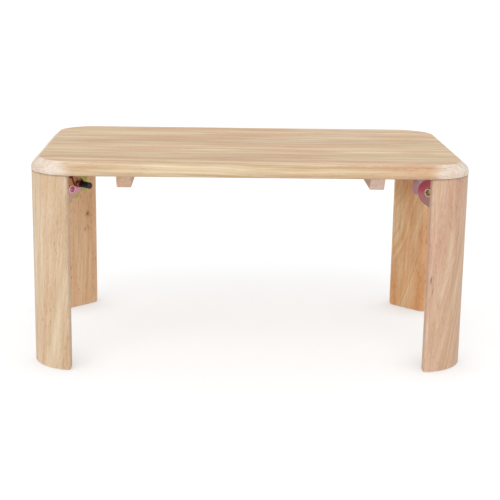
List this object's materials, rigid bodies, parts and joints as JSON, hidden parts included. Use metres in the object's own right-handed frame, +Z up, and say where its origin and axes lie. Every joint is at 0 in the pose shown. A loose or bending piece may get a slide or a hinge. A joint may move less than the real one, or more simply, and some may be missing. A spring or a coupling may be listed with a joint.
{
  "type": "folding coffee table",
  "caption": "Low rectangular wooden table with round corners, whose corner legs fold in under the top on locking steel brackets.",
  "frame": {"origin": "on the floor, under the middle of the open table", "axes": "+X along the table to the right as pictured, +Y to its back, +Z up"},
  "size_m": [0.75, 0.45, 0.36],
  "materials": {
    "tabletop_wood": "rubberwood staves glued edge to edge, clear satin lacquer",
    "leg_wood": "solid rubberwood, clear satin lacquer",
    "batten_wood": "solid rubberwood, clear satin lacquer",
    "passivated_steel": "pressed steel, zinc plated and yellow passivated, iridescent",
    "rivet_steel": "zinc plated and passivated steel",
    "spring_steel": "hard drawn spring wire, oiled",
    "screw_steel": "zinc plated and yellow passivated steel",
    "cap_rubber": "black rubber, matt"
  },
  "bodies": {
    "table": {"tabletop": "tabletop_wood", "batten_left": "batten_wood", "batten_right": "batten_wood", "batten_screws_left": "screw_steel", "batten_screws_right": "screw_steel", "top_plate_front_left": "passivated_steel", "pivot_rivet_front_left": "rivet_steel", "lever_rivet_front_left": "rivet_steel", "lever_spring_front_left": "spring_steel", "top_plate_screws_front_left": "screw_steel", "top_plate_front_right": "passivated_steel", "pivot_rivet_front_right": "rivet_steel", "lever_rivet_front_right": "rivet_steel", "lever_spring_front_right": "spring_steel", "top_plate_screws_front_right": "screw_steel", "top_plate_back_right": "passivated_steel", "pivot_rivet_back_right": "rivet_steel", "lever_rivet_back_right": "rivet_steel", "lever_spring_back_right": "spring_steel", "top_plate_screws_back_right": "screw_steel", "top_plate_back_left": "passivated_steel", "pivot_rivet_back_left": "rivet_steel", "lever_rivet_back_left": "rivet_steel", "lever_spring_back_left": "spring_steel", "top_plate_screws_back_left": "screw_steel"},
    "leg_front_left_body": {"leg_front_left": "leg_wood", "leg_plate_front_left": "passivated_steel", "leg_plate_screws_front_left": "screw_steel"},
    "lever_front_left_body": {"lock_lever_front_left": "passivated_steel", "lever_cap_front_left": "cap_rubber"},
    "leg_front_right_body": {"leg_front_right": "leg_wood", "leg_plate_front_right": "passivated_steel", "leg_plate_screws_front_right": "screw_steel"},
    "lever_front_right_body": {"lock_lever_front_right": "passivated_steel", "lever_cap_front_right": "cap_rubber"},
    "leg_back_right_body": {"leg_back_right": "leg_wood", "leg_plate_back_right": "passivated_steel", "leg_plate_screws_back_right": "screw_steel"},
    "lever_back_right_body": {"lock_lever_back_right": "passivated_steel", "lever_cap_back_right": "cap_rubber"},
    "leg_back_left_body": {"leg_back_left": "leg_wood", "leg_plate_back_left": "passivated_steel", "leg_plate_screws_back_left": "screw_steel"},
    "lever_back_left_body": {"lock_lever_back_left": "passivated_steel", "lever_cap_back_left": "cap_rubber"}
  },
  "joints": [
    {"name": "leg_fold_front_left", "type": "hinge", "parent": "table", "child": "leg_front_left_body", "pos_m": [-0.31162, -0.16162, 0.30551], "axis": [0.7071, -0.7071, 0], "range_deg": [0, 96]},
    {"name": "lever_lift_front_left", "type": "hinge", "parent": "table", "child": "lever_front_left_body", "pos_m": [-0.30885, -0.15885, 0.3302], "axis": [0.7071, -0.7071, 0], "range_deg": [-8, 2], "stiffness_Nm_per_rad": 0.1, "springref_deg": -20.05},
    {"name": "leg_fold_front_right", "type": "hinge", "parent": "table", "child": "leg_front_right_body", "pos_m": [0.31162, -0.16162, 0.30551], "axis": [0.7071, 0.7071, 0], "range_deg": [0, 96]},
    {"name": "lever_lift_front_right", "type": "hinge", "parent": "table", "child": "lever_front_right_body", "pos_m": [0.30885, -0.15885, 0.3302], "axis": [0.7071, 0.7071, 0], "range_deg": [-8, 2], "stiffness_Nm_per_rad": 0.1, "springref_deg": -20.05},
    {"name": "leg_fold_back_right", "type": "hinge", "parent": "table", "child": "leg_back_right_body", "pos_m": [0.31162, 0.16162, 0.30551], "axis": [-0.7071, 0.7071, 0], "range_deg": [0, 85]},
    {"name": "lever_lift_back_right", "type": "hinge", "parent": "table", "child": "lever_back_right_body", "pos_m": [0.30885, 0.15885, 0.3302], "axis": [-0.7071, 0.7071, 0], "range_deg": [-8, 2], "stiffness_Nm_per_rad": 0.1, "springref_deg": -20.05},
    {"name": "leg_fold_back_left", "type": "hinge", "parent": "table", "child": "leg_back_left_body", "pos_m": [-0.31162, 0.16162, 0.30551], "axis": [-0.7071, -0.7071, 0], "range_deg": [0, 85]},
    {"name": "lever_lift_back_left", "type": "hinge", "parent": "table", "child": "lever_back_left_body", "pos_m": [-0.30885, 0.15885, 0.3302], "axis": [-0.7071, -0.7071, 0], "range_deg": [-8, 2], "stiffness_Nm_per_rad": 0.1, "springref_deg": -20.05}
  ]
}
